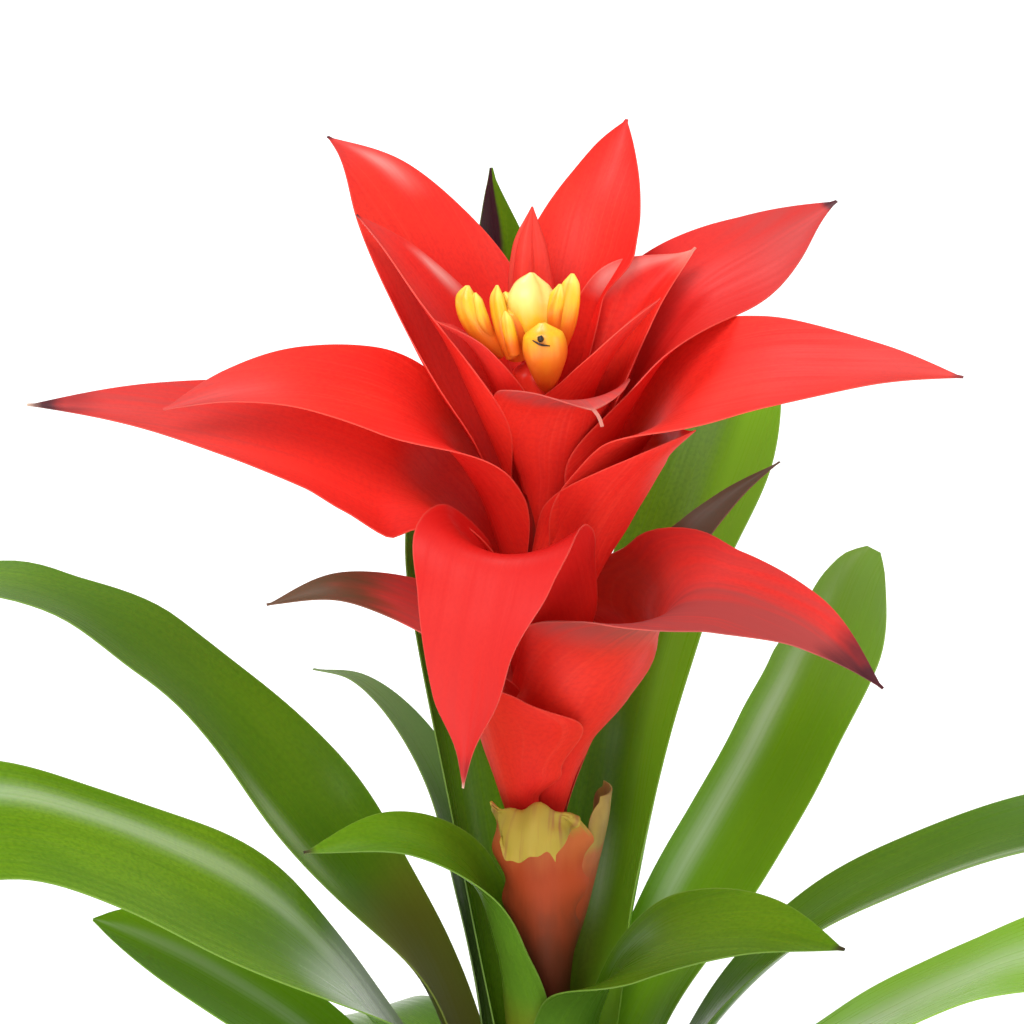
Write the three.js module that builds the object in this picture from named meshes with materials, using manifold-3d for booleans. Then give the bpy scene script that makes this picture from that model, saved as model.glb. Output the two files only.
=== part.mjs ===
// A guzmania in flower, lifted from its pot and cut clean at the foot: a rosette of long arching strap
// leaves around a short stock, and a stem that carries flaring red bracts round a small cluster of yellow
// flowers. Units are millimetres, Z is up and the stem stands on the Z axis. The cut foot of the stock
// rests on Z = 0, and the lowest leaves arch over until their tips reach the same level.
//
// Every leaf and bract is a blade swept along its midrib. A blade is drawn in the upright plane that
// leaves the axis at the bearing "turn", as points of distance out from the axis and height. Across the
// midrib it follows a circle round the axis, so the blades nest in each other like a stack of flaring
// vases and never meet.
import * as THREE from 'three';
import { mergeVertices } from 'three/addons/utils/BufferGeometryUtils.js';
import Module from 'manifold-3d';

const wasm = await Module();
wasm.setup();

const LEAF_THICKNESS = 0.9;
const BRACT_THICKNESS = 0.8;
const STEM_RADIUS = 4.2;
const STEM_TOP = 206;
const STOCK_RADIUS = 19.4;
const STOCK_TOP = 50;
const ROUND_STEPS = 28;

// The leaves leave the stock on a spiral. Step 0 is the innermost, and each step is lower and wider.
const FOOT_RADIUS = 6.5;
const FOOT_RADIUS_STEP = 0.8;
const FOOT_HEIGHT = 48;
const FOOT_HEIGHT_STEP = -2.6;

// A bract's foot clasps the stem at this radius.
const BRACT_FOOT = 5;

// Half widths as a share of the blade's own: the foot, where the full width is reached, where it starts
// to narrow, and how round the narrowing is. Tip is the half width left at the end. Cup lifts both
// margins, as a share of the half width, and roll turns the blade about its midrib, in degrees. Left and
// right stretch one half of the blade, seen from outside with the foot down. Swing moves the midrib away
// from the blade's own bearing, in degrees. Lift raises the left and the right margin, in millimetres. End
// is where the blade proper ends, and only a thin thorn goes on.
const BRACT_FORM = {
  steps: 12,
  across: 6,
  foot: 0.5,
  full: 0.36,
  fade: 0.36,
  round: [1.5, 1.0],
  cup: [[0, 0], [0.3, 0.1], [0.7, 0.12], [1, 0.3]],
  roll: [[0, 0]],
  left: [[0, 1]],
  right: [[0, 1]],
  swing: [[0, 0]],
  lift: [[0, 0, 0]],
  end: 1,
  tip: 0.35,
};
const LEAF_FORM = {
  steps: 14,
  across: 4,
  foot: 0.9,
  full: 0.3,
  fade: 0.72,
  round: [2.6, 0.9],
  cup: [[0.12, 0], [0.35, 0.15], [0.6, 0.1], [1, 0.2]],
  roll: [[0, 0]],
  left: [[0, 1]],
  right: [[0, 1]],
  swing: [[0, 0]],
  lift: [[0, 0, 0]],
  end: 1,
  tip: 0.35,
};
const MIN_REACH = 3;

// Leaves: bearing in degrees, step on the spiral, full width, then the midrib as [out, up].
const LEAVES = [
  { name: 'leaf_01', turn: 205, step: 0, width: 22, fade: 0.5, round: [1.8, 1],
    roll: [[0.2, 0], [0.5, -20]],
    rib: [[8, 70], [11.5, 93], [18, 111], [33, 121.5], [54, 122.5]] },
  { name: 'leaf_02', turn: 318, step: 2.2, width: 26, foot: 0.55, fade: 0.5, round: [1.8, 1],
    roll: [[0.3, 0], [0.6, 30]],
    rib: [[9.5, 64], [12.5, 79], [18.5, 89.5], [35, 103], [56, 112], [78, 115.5]] },
  { name: 'leaf_03', turn: 107, step: 2, width: 25, fade: 0.6, round: [1.5, 0.9],
    swing: [[0, 25], [0.65, 24], [0.95, 0]],
    rib: [[11, 72], [22.5, 118], [35, 175], [39, 222], [39, 247]] },
  { name: 'leaf_04', turn: 61, step: 3, width: 30, foot: 0.55,
    left: [[0, 1], [0.3, 0.8], [0.65, 0.8], [0.85, 1]],
    rib: [[18, 66], [31, 97], [43, 130], [61, 155], [80, 175], [98, 195]] },
  { name: 'leaf_05', turn: 142, step: 4.6, width: 15, foot: 0.8, fade: 0.4, round: [1.8, 1],
    rib: [[13, 62], [20, 97], [28, 120], [39, 132], [50, 137], [62, 136]] },
  { name: 'leaf_06', turn: 37, step: 5, width: 24, fade: 0.84, round: [2.4, 0.6], foot: 0.8, tip: 2,
    right: [[0, 0.8], [0.4, 0.65], [0.8, 0.65], [1, 1]],
    roll: [[0.25, 0], [0.5, 20], [0.85, 20], [1, 10]],
    rib: [[21, 60], [39, 87], [51, 102], [62, 116], [72, 132], [78.5, 145], [83, 154], [87, 159]] },
  { name: 'leaf_07', turn: 172, step: 6, width: 26,
    roll: [[0.2, 0], [0.4, -28], [0.58, -12], [0.68, 6], [1, 14]],
    right: [[0.4, 1], [0.55, 0.8], [0.75, 0.8], [1, 1]],
    rib: [[17, 58], [26, 84], [39, 103], [52.5, 121.5], [66.5, 137.5], [83, 152], [100, 161],
      [115, 164], [135, 158], [158, 140], [168, 128]] },
  { name: 'leaf_08', turn: 350, step: 7.5, width: 24, foot: 0.8, roll: [[0.2, 0], [0.5, 5]],
    rib: [[21, 48], [37, 79], [56, 101], [75, 114], [98, 125], [122, 130], [148, 124], [168, 106]] },
  { name: 'leaf_09', turn: 208, step: 9, width: 29, roll: [[0.2, 0], [0.5, -30]],
    left: [[0, 1], [0.2, 1.6], [0.35, 1.3], [0.6, 1]], right: [[0, 1], [0.3, 1.4], [0.5, 1.3], [0.7, 1]],
    rib: [[24, 54], [41, 84], [59, 104], [78, 120], [100, 135], [122, 144.5], [146, 145], [168, 133],
      [184, 114]] },
  { name: 'leaf_10', turn: 314, step: 10, width: 28, roll: [[0.2, 0], [0.5, 20]],
    rib: [[26, 50], [44, 70], [66, 85.5], [85, 101], [108, 119], [130, 134], [152, 142], [174, 140],
      [192, 125]] },
  { name: 'leaf_11', turn: 192, step: 12, width: 24, roll: [[0.2, 0], [0.5, -25]], steps: 10,
    rib: [[30, 46], [50, 73], [70, 90], [83, 99], [94, 106]] },
  { name: 'leaf_12', turn: 82, step: 11, width: 24, steps: 10,
    rib: [[30, 38], [55, 47], [84, 42], [112, 20], [122, 0.3]] },
  { name: 'leaf_13', turn: 118, step: 13, width: 24, steps: 10,
    rib: [[31, 34], [55, 43], [82, 38], [108, 16], [116, 0.3]] },
  { name: 'leaf_14', turn: 12, step: 14, width: 25, steps: 10,
    rib: [[32, 34], [60, 48], [92, 46], [122, 26], [136, 0.3]] },
  { name: 'leaf_15', turn: 290, step: 15, width: 25, steps: 10,
    rib: [[33, 32], [60, 47], [90, 44], [116, 23], [127, 0.3]] },
  { name: 'leaf_16', turn: 235, step: 16, width: 25, steps: 10,
    rib: [[34, 30], [60, 44], [88, 42], [114, 22], [126, 0.3]] },
  { name: 'leaf_17', turn: 155, step: 16, width: 24, steps: 10,
    rib: [[33, 30], [58, 43], [88, 42], [118, 24], [132, 0.3]] },
  { name: 'leaf_18', turn: 268, step: 17.3, width: 24, steps: 10,
    rib: [[34, 26], [58, 36], [84, 32], [104, 14], [112, 0.3]] },
];

// Bracts from the lowest on the stem to the innermost: bearing, height of the foot, full width, midrib.
const BRACTS = [
  { name: 'scape_bract_front', turn: 257, foot_up: 80, width: 27, foot: 0.5, full: 0.7, fade: 0.8,
    round: [2, 0.5], tip: 7, cup: [[0, 0], [0.76, 0], [0.87, -0.35], [1, -0.15]],
    rib: [[6.6, 90], [9, 105], [11, 117], [12.5, 124.5], [15, 128.5], [18.5, 126], [20.5, 120]] },
  { name: 'scape_bract_side', turn: 0, foot_up: 88, width: 9, foot: 0.9, full: 0.5, fade: 0.8, tip: 3,
    across: 4, steps: 8, round: [3, 0.6], rib: [[7.8, 98], [10.6, 111], [12.4, 121], [14.2, 131]] },
  { name: 'bract_04', turn: 38, foot_up: 110, width: 21, foot: 0.35, across: 4, right: [[0, 0.6]],
    left: [[0, 0.6], [0.4, 0.8], [0.65, 1.3], [1, 1]], swing: [[0, 45], [0.5, 22], [0.75, 0]],
    rib: [[8.6, 118], [16.3, 140], [26.3, 157], [34.4, 171.5], [46, 178], [61, 183]] },
  { name: 'bract_01', turn: 238, foot_up: 114.5, width: 28, foot: 0.75,
    right: [[0, 0.25], [0.24, 0.3], [0.36, 0.75], [0.6, 1.6], [0.74, 1.05]],
    rib: [[8.6, 122], [13, 134], [18, 146], [25, 156], [34, 160], [42, 156]] },
  { name: 'bract_02', turn: 334, foot_up: 120, width: 32, foot: 0.62, across: 8,
    roll: [[0.1, 0], [0.35, -11], [0.56, 13], [1, 20]],
    left: [[0, 0.6], [0.3, 0.95], [0.46, 2.1], [0.58, 2.1], [0.7, 1]],
    swing: [[0, -55], [0.08, -52], [0.33, -18], [0.45, 0]], lift: [[0.35, 0, 0], [0.5, 6, 0], [0.68, 0, 0]],
    right: [[0, 0.2], [0.2, 0.5], [0.3, 1.2], [0.4, 2.8], [0.44, 2.7], [0.52, 2], [0.65, 1]],
    cup: [[0, 0], [0.15, 0.1], [0.35, 0.33], [0.5, 0.28], [0.7, 0.12], [1, 0.3]],
    rib: [[8.4, 128], [11.8, 139.5], [18, 152], [22.7, 163.5], [33, 176], [55, 174], [73, 162.5]] },
  { name: 'bract_03', turn: 190, foot_up: 128, width: 22, foot: 0.8, roll: [[0.3, 0], [0.5, -20], [1, -15]],
    rib: [[7, 135], [10, 146], [16, 158.5], [27, 167.5], [42, 173], [57, 171]] },
  { name: 'bract_05', turn: 252, foot_up: 143, width: 40, foot: 0.4,
    lift: [[0.26, 0, 0], [0.4, 0, 3.5], [0.5, 0, 3.5], [0.64, 0, 0]],
    left: [[0, 0.9], [0.2, 0.7], [0.36, 0.7], [0.5, 1]], right: [[0.5, 1], [0.62, 0.85], [0.75, 0.7], [1, 1]],
    rib: [[8.4, 156], [14.7, 172], [25.4, 186.2], [33.8, 190.2], [42, 182], [49, 168], [54, 150]] },
  { name: 'bract_06', turn: 186, foot_up: 150.5, width: 37, foot: 0.45, full: 0.33,
    roll: [[0.35, 0], [0.45, -27], [1, -15]],
    rib: [[8, 163], [15, 180], [26, 191.5], [40, 200], [59, 207], [77, 211], [103, 214]] },
  { name: 'bract_07', turn: 322, foot_up: 156.5, width: 34, foot: 0.38, full: 0.45, fade: 0.5, across: 8,
    roll: [[0.2, 0], [0.48, -12], [1, 0]], cup: [[0, 0], [0.2, 0.03], [0.5, 0.22], [0.8, 0.2], [1, 0.3]],
    right: [[0, 1], [0.3, 1.7], [0.48, 2], [0.7, 2.1], [0.8, 1.6], [0.95, 1]],
    rib: [[8.2, 169], [15, 186], [25, 202], [36, 213]] },
  { name: 'bract_08', turn: 192, foot_up: 166, width: 32, foot: 0.3, roll: [[0.35, 0], [0.6, -25], [1, -20]],
    rib: [[8.3, 175], [15, 194.5], [27, 209.5], [48, 218], [63, 218], [77, 215]] },
  { name: 'bract_09', turn: 342, foot_up: 167, width: 37, foot: 0.3, full: 0.55, fade: 0.42,
    left: [[0, 1], [0.25, 1.15], [0.5, 1]], right: [[0, 1], [0.25, 1.15], [0.45, 1]],
    roll: [[0.35, 0], [0.6, 24], [1, 12]],
    rib: [[8.5, 178], [17, 199], [29, 215], [43, 221.5], [65, 224.5], [84, 225.5]] },
  { name: 'bract_10', turn: 28, foot_up: 173, width: 40, foot: 0.25, full: 0.55, fade: 0.42,
    left: [[0, 1], [0.55, 1.1], [0.85, 1.4], [1, 1]],
    roll: [[0.5, 0], [0.8, 18]], rib: [[9, 187.5], [17, 210], [31, 227], [50, 235.5], [66, 242]] },
  { name: 'bract_12', turn: 132, foot_up: 177, width: 36, foot: 0.2, full: 0.55, fade: 0.42,
    right: [[0, 1], [0.3, 1.6], [0.75, 1.5], [1, 1]],
    rib: [[10, 190], [15.6, 202], [23, 213.5], [34.5, 231.5], [50, 244.5], [67, 249.5]] },
  { name: 'bract_11', turn: 162, foot_up: 183, width: 27, foot: 0.3, full: 0.45, fade: 0.45,
    left: [[0, 0.6], [0.4, 0.8], [0.6, 1]], right: [[0, 0.7], [0.4, 1.35], [0.8, 1.35], [1, 1]],
    rib: [[9.2, 197], [14.4, 210], [21.4, 225], [30, 236.5], [40, 245.5]] },
  { name: 'bract_13', turn: 30, foot_up: 178, width: 22, foot: 0.3, full: 0.5, fade: 0.5, across: 4,
    rib: [[9, 192], [15, 211.5], [22.5, 226.5], [34, 237]] },
  { name: 'bract_14', turn: 70, foot_up: 186, width: 37, foot: 0.15, full: 0.66, fade: 0.42,
    right: [[0, 1], [0.5, 0.9], [0.8, 0.8], [1, 1]],
    rib: [[9, 200], [16.5, 225], [26, 241], [38, 249.5], [47, 255]] },
  { name: 'bract_15', turn: 288, foot_up: 183, width: 27, foot: 0.3, full: 0.6, fade: 0.7, end: 0.92,
    round: [2.2, 0.8], rib: [[7.8, 195], [12.2, 207], [17, 215.5], [23, 219], [28, 217.5], [30, 214.5]] },
  { name: 'bract_16', turn: 338, foot_up: 190, width: 22, foot: 0.25, full: 0.5, fade: 0.5, across: 4,
    rib: [[6.4, 201], [9.3, 213.5], [15, 224.5], [23.5, 235.5]] },
  { name: 'bract_17', turn: 206, foot_up: 192, width: 17, foot: 0.33, full: 0.5, fade: 0.5, across: 4,
    rib: [[7.9, 203], [11.5, 215], [17, 225.5], [24.5, 231.5]] },
];

// The closed flower bract behind the flowers and the yellow flower buds: [x, y, z, radius] along each.
const POD_SIDES = 8;
const POD_STEPS = 8;
const CLOSED_BRACT = [
  [-0.5, 5.6, 207.5, 1.2], [-1.5, 6.6, 216, 3.2], [-3.3, 8.2, 230, 5], [-3.6, 8.6, 240, 3.8],
  [-3.2, 8.6, 248.5, 0.3],
];
const FLOWERS = [
  [[-2, -2, 206.4, 1.5], [-2.5, -3, 212, 5], [-2.5, -3, 218, 4.6], [-2.5, -3, 221, 0.6]],
  [[-5, -4, 214, 1.6], [-8.5, -5, 220, 2.8], [-12, -6, 227.5, 2.9], [-14.5, -6.5, 234, 0.4]],
  [[-4, -5, 216, 1.6], [-6.5, -7, 222, 2.6], [-8, -7.5, 228, 2.6], [-9, -8, 233.5, 0.4]],
  [[-3, -2, 217, 2], [-3, -1.5, 226, 3.8], [-2.5, -1.5, 233, 3.6], [-2, -1, 240, 0.5]],
  [[-1, -3, 216, 1.6], [1.5, -3.5, 224, 3.1], [4, -3.5, 231, 3.3], [5.5, -3.5, 238.5, 0.5]],
  [[-2, -6, 214, 2], [-1.5, -8, 220, 4.4], [-1, -9, 226, 4.6], [-1, -9.5, 231.5, 0.8]],
];

function material(color, roughness) {
  return new THREE.MeshStandardMaterial({ color, roughness, metalness: 0 });
}

const leafGreen = material(0x5a9628, 0.45);
const bractRed = material(0xeb3228, 0.5);
const darkBract = material(0x7a3b33, 0.5);
const sheathOrange = material(0xc8642d, 0.55);
const stemOlive = material(0x7f8a3c, 0.6);
const flowerYellow = material(0xf2c22c, 0.5);

function ramp(x, from, to) {
  return THREE.MathUtils.smoothstep(x, from, to);
}

// Smooth value at s between [s, value] keys. Keys with two values are read one column at a time.
function keyed(keys, s, column = 1) {
  if (s <= keys[0][0]) {
    return keys[0][column];
  }
  for (let k = 1; k < keys.length; k += 1) {
    const from = keys[k - 1];
    const to = keys[k];
    if (s <= to[0]) {
      return from[column] + (to[column] - from[column]) * ramp(s, from[0], to[0]);
    }
  }
  return keys[keys.length - 1][column];
}

// Half width at the share s of the midrib's length.
function halfWidth(form, s) {
  let share = form.foot + (1 - form.foot) * ramp(s, 0, form.full);
  if (s > form.fade) {
    const u = Math.min(1, (s - form.fade) / (form.end - form.fade));
    share *= Math.max(0, 1 - u ** form.round[0]) ** form.round[1];
  }
  return Math.max(form.tip, form.width / 2 * share);
}

// Rows of points across the blade with the direction its upper face looks in.
function bladeRows(form) {
  const rib = new THREE.CatmullRomCurve3(form.rib.map(([out, up]) => new THREE.Vector3(out, up, 0)));
  rib.arcLengthDivisions = 400;
  const bearing = THREE.MathUtils.degToRad(form.turn);
  const rows = [];
  for (let i = 0; i <= form.steps; i += 1) {
    const s = i / form.steps;
    const centre = rib.getPointAt(s);
    const along = rib.getTangentAt(s);
    const half = halfWidth(form, s);
    const cup = keyed(form.cup, s);
    const roll = THREE.MathUtils.degToRad(keyed(form.roll, s));
    const centreHeading = bearing + THREE.MathUtils.degToRad(keyed(form.swing, s));
    const row = [];
    for (let j = 0; j <= form.across; j += 1) {
      const t = -1 + 2 * j / form.across;
      const reach = t * half * keyed(t < 0 ? form.left : form.right, s);
      const aside = reach * Math.cos(roll);
      const rise = reach * Math.sin(roll) + (cup * half + keyed(form.lift, s, t < 0 ? 1 : 2)) * t * t;
      const angle = aside / Math.max(centre.x, MIN_REACH);
      // The blade's own plane here: outward, sideways and the way its upper face looks.
      const heading = centreHeading + angle;
      const face = new THREE.Vector3(-along.y * Math.cos(heading), -along.y * Math.sin(heading), along.x);
      const point = new THREE.Vector3(centre.x * Math.cos(heading), centre.x * Math.sin(heading), centre.y);
      point.addScaledVector(face, rise);
      row.push({ point, face });
    }
    rows.push(row);
  }
  return rows;
}

// True surface normals from the neighbouring points, kept on the side of the upper face.
function facing(rows, i, j) {
  const up = rows[Math.min(i + 1, rows.length - 1)][j].point.clone();
  up.sub(rows[Math.max(i - 1, 0)][j].point);
  const last = rows[i].length - 1;
  const across = rows[i][Math.min(j + 1, last)].point.clone().sub(rows[i][Math.max(j - 1, 0)].point);
  const normal = up.cross(across).normalize();
  if (normal.dot(rows[i][j].face) < 0) {
    normal.negate();
  }
  return normal;
}

// A closed plate of even thickness about the rows of points.
function bladeGeometry(form, thickness) {
  const rows = bladeRows(form);
  const wide = form.across + 1;
  const count = rows.length * wide;
  const positions = new Float32Array(count * 2 * 3);
  for (let i = 0; i < rows.length; i += 1) {
    for (let j = 0; j < wide; j += 1) {
      const k = i * wide + j;
      const normal = facing(rows, i, j);
      const point = rows[i][j].point;
      point.clone().addScaledVector(normal, thickness / 2).toArray(positions, k * 3);
      point.clone().addScaledVector(normal, -thickness / 2).toArray(positions, (k + count) * 3);
    }
  }
  const faces = [];
  const corner = (i, j) => i * wide + j;
  // Both faces are split along the same diagonals, mirrored about the midrib.
  const addFace = (a, b, c) => {
    faces.push(a, b, c);
    faces.push(a + count, c + count, b + count);
  };
  for (let i = 0; i < form.steps; i += 1) {
    for (let j = 0; j < form.across; j += 1) {
      const a = corner(i, j);
      const b = corner(i + 1, j);
      const c = corner(i + 1, j + 1);
      const d = corner(i, j + 1);
      if (j < form.across / 2) {
        addFace(a, b, c);
        addFace(a, c, d);
      } else {
        addFace(a, b, d);
        addFace(b, c, d);
      }
    }
  }
  const rim = [];
  for (let j = 0; j < form.across; j += 1) {
    rim.push(corner(0, j));
  }
  for (let i = 0; i < form.steps; i += 1) {
    rim.push(corner(i, form.across));
  }
  for (let j = form.across; j > 0; j -= 1) {
    rim.push(corner(form.steps, j));
  }
  for (let i = form.steps; i > 0; i -= 1) {
    rim.push(corner(i, 0));
  }
  for (let k = 0; k < rim.length; k += 1) {
    const a = rim[k];
    const b = rim[(k + 1) % rim.length];
    faces.push(a, b, b + count);
    faces.push(a, b + count, a + count);
  }
  const geometry = new THREE.BufferGeometry();
  geometry.setAttribute('position', new THREE.BufferAttribute(positions, 3));
  geometry.setIndex(faces);
  return geometry;
}

// A closed pod: rings of a varying radius along a curve, with a point at each end.
function podGeometry(stations) {
  const curve = new THREE.CatmullRomCurve3(stations.map(([x, y, z]) => new THREE.Vector3(x, y, z)));
  const girth = new THREE.CatmullRomCurve3(stations.map((s, k) => new THREE.Vector3(k, s[3], 0)));
  const points = [];
  const faces = [];
  const ringStart = (i) => 1 + (i - 1) * POD_SIDES;
  curve.getPoint(0).toArray(points, 0);
  for (let i = 1; i < POD_STEPS; i += 1) {
    const u = i / POD_STEPS;
    const centre = curve.getPoint(u);
    const along = curve.getTangent(u);
    const side = new THREE.Vector3(0, -1, 0).cross(along).normalize();
    const front = along.clone().cross(side).normalize();
    const radius = Math.max(0.4, girth.getPoint(u).y);
    for (let j = 0; j < POD_SIDES; j += 1) {
      const a = 2 * Math.PI * j / POD_SIDES;
      const point = centre.clone();
      point.addScaledVector(side, radius * Math.cos(a));
      point.addScaledVector(front, radius * Math.sin(a));
      points.push(point.x, point.y, point.z);
    }
  }
  curve.getPoint(1).toArray(points, points.length);
  const tip = points.length / 3 - 1;
  for (let j = 0; j < POD_SIDES; j += 1) {
    const next = (j + 1) % POD_SIDES;
    faces.push(0, ringStart(1) + next, ringStart(1) + j);
    faces.push(tip, ringStart(POD_STEPS - 1) + j, ringStart(POD_STEPS - 1) + next);
    for (let i = 1; i < POD_STEPS - 1; i += 1) {
      const a = ringStart(i) + j;
      const b = ringStart(i) + next;
      const c = ringStart(i + 1) + next;
      const d = ringStart(i + 1) + j;
      faces.push(a, b, c, a, c, d);
    }
  }
  const geometry = new THREE.BufferGeometry();
  geometry.setAttribute('position', new THREE.BufferAttribute(new Float32Array(points), 3));
  geometry.setIndex(faces);
  return geometry;
}

function toSolid(geometry) {
  const bare = geometry.clone();
  bare.deleteAttribute('normal');
  bare.deleteAttribute('uv');
  const merged = mergeVertices(bare, 1e-4);
  return new wasm.Manifold(new wasm.Mesh({
    numProp: 3,
    vertProperties: new Float32Array(merged.attributes.position.array),
    triVerts: new Uint32Array(merged.index.array),
  }));
}

function fromSolid(solid) {
  const mesh = solid.getMesh();
  const geometry = new THREE.BufferGeometry();
  geometry.setAttribute('position', new THREE.BufferAttribute(new Float32Array(mesh.vertProperties), 3));
  geometry.setIndex(Array.from(mesh.triVerts));
  return geometry;
}

const guzmania = new THREE.Group();

function addPiece(name, geometry, finish) {
  geometry.computeVertexNormals();
  const mesh = new THREE.Mesh(geometry, finish.clone());
  mesh.name = name;
  guzmania.add(mesh);
}

// Stock and stem in one: a short cone that the leaves clasp, drawn out into the straight stem.
const stemProfile = [
  [0, 0], [STOCK_RADIUS - 2, 0], [STOCK_RADIUS, 2], [FOOT_RADIUS - 1.2, FOOT_HEIGHT],
  [STEM_RADIUS, STOCK_TOP + 8], [STEM_RADIUS, STEM_TOP - 2], [STEM_RADIUS - 1.5, STEM_TOP], [0, STEM_TOP],
];
const stem = new THREE.LatheGeometry(stemProfile.map(([r, z]) => new THREE.Vector2(r, z)), ROUND_STEPS);
stem.rotateX(Math.PI / 2);
addPiece('stem', stem, stemOlive);

for (const leaf of LEAVES) {
  const form = { ...LEAF_FORM, ...leaf };
  const footRadius = FOOT_RADIUS + FOOT_RADIUS_STEP * leaf.step;
  const footHeight = FOOT_HEIGHT + FOOT_HEIGHT_STEP * leaf.step;
  form.rib = [[footRadius, footHeight], ...leaf.rib];
  addPiece(leaf.name, bladeGeometry(form, LEAF_THICKNESS), leafGreen);
}

for (const bract of BRACTS) {
  const form = { ...BRACT_FORM, ...bract };
  form.rib = [[BRACT_FOOT, bract.foot_up], ...bract.rib];
  let finish = bractRed;
  if (bract.name.startsWith('scape')) {
    finish = sheathOrange;
  }
  if (bract.name === 'bract_04') {
    finish = darkBract;
  }
  addPiece(bract.name, bladeGeometry(form, BRACT_THICKNESS), finish);
}

addPiece('closed_bract', podGeometry(CLOSED_BRACT), bractRed);

// The flower buds grow into one another at their feet.
let flowers = toSolid(podGeometry(FLOWERS[0]));
for (const bud of FLOWERS.slice(1)) {
  flowers = flowers.add(toSolid(podGeometry(bud)));
}
addPiece('flowers', fromSolid(flowers), flowerYellow);

export default guzmania;
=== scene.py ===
# Looks for a guzmania in flower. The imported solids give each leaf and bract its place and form. Here each one
# gets a finer blade of the same form with thin edges, veins and its own colouring, in the same frame.
# Lengths in the tables are millimetres and angles are degrees; Blender objects are in metres.
import math

import bpy
import numpy as np
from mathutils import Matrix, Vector


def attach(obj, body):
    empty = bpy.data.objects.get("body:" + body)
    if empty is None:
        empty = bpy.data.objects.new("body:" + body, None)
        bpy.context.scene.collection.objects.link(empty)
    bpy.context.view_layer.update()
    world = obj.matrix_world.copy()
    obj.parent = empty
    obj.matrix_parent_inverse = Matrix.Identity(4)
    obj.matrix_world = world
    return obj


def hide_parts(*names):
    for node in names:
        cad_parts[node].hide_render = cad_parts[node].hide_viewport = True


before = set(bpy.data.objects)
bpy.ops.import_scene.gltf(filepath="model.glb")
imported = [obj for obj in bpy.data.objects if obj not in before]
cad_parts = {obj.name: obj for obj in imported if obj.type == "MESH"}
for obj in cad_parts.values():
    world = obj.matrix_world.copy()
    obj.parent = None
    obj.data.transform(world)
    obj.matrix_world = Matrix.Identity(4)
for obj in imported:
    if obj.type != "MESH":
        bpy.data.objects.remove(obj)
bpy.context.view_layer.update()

MM = 0.001

# A blade is drawn in the upright plane that leaves the stem at the bearing "turn", as a rib of points
# [distance out from the axis, height], and across the rib it follows a circle round the stem. A list of keys
# runs along the rib, each key with the share of the rib's length first.
#   width                     the full width
#   foot, full, fade, round   share of the width at the foot, where the width is full, where the blade starts
#                             to narrow, and the two powers that round the narrowing
#   tip, end                  half width left at the end, and where only a thorn goes on
#   left, right               stretch one half of the blade, seen from outside with the foot down
#   cup                       lifts both margins, as a share of the half width
#   lift                      raises the left and the right margin
#   roll, swing               turn the blade about its rib, and move the rib round the stem
#   keel, waves               a sharp fold along the rib, and slow waves in the margins [size, count, phase]
#   ragged, crimp             an uneven end and a folded one, for a torn lip
#   dark, pale, bloom_and_sheen  how strong the browned or purple colour is, the pale one, and the dusky
#   grey-pink one, partly a powdery bloom and partly a painted sheen
#   painted_shade             shade and light painted into the colour: how much deeper (above 0) or fresher (below 0) it is
#   dark_half and the like    favour the right half of the blade, or below 0 the left
#   painted_highlight(_at)    a painted highlight streak, and where across the blade it lies and how wide it is
PLAIN = {
    "tip": 0.35, "end": 1, "left": [[0, 1]], "right": [[0, 1]], "lift": [[0, 0, 0]],
    "roll": [[0, 0]], "swing": [[0, 0]], "keel": [[0, 0]], "waves": [], "ragged": 0, "crimp": 0,
    "dark": [[0, 0]], "pale": [[0, 0]], "bloom_and_sheen": [[0, 0]], "painted_shade": [[0, 0]],
    "painted_highlight": [[0, 0]], "painted_highlight_at": [0, 1],
}
LEAF_FORM = {
    **PLAIN, "foot": 0.9, "full": 0.3, "fade": 0.72, "round": [2.6, 0.9],
    "cup": [[0.12, 0], [0.35, 0.15], [0.6, 0.1], [1, 0.2]],
}
BRACT_FORM = {
    **PLAIN, "foot": 0.5, "full": 0.36, "fade": 0.36, "round": [1.5, 1],
    "cup": [[0, 0], [0.3, 0.1], [0.7, 0.12], [1, 0.3]],
}

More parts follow.
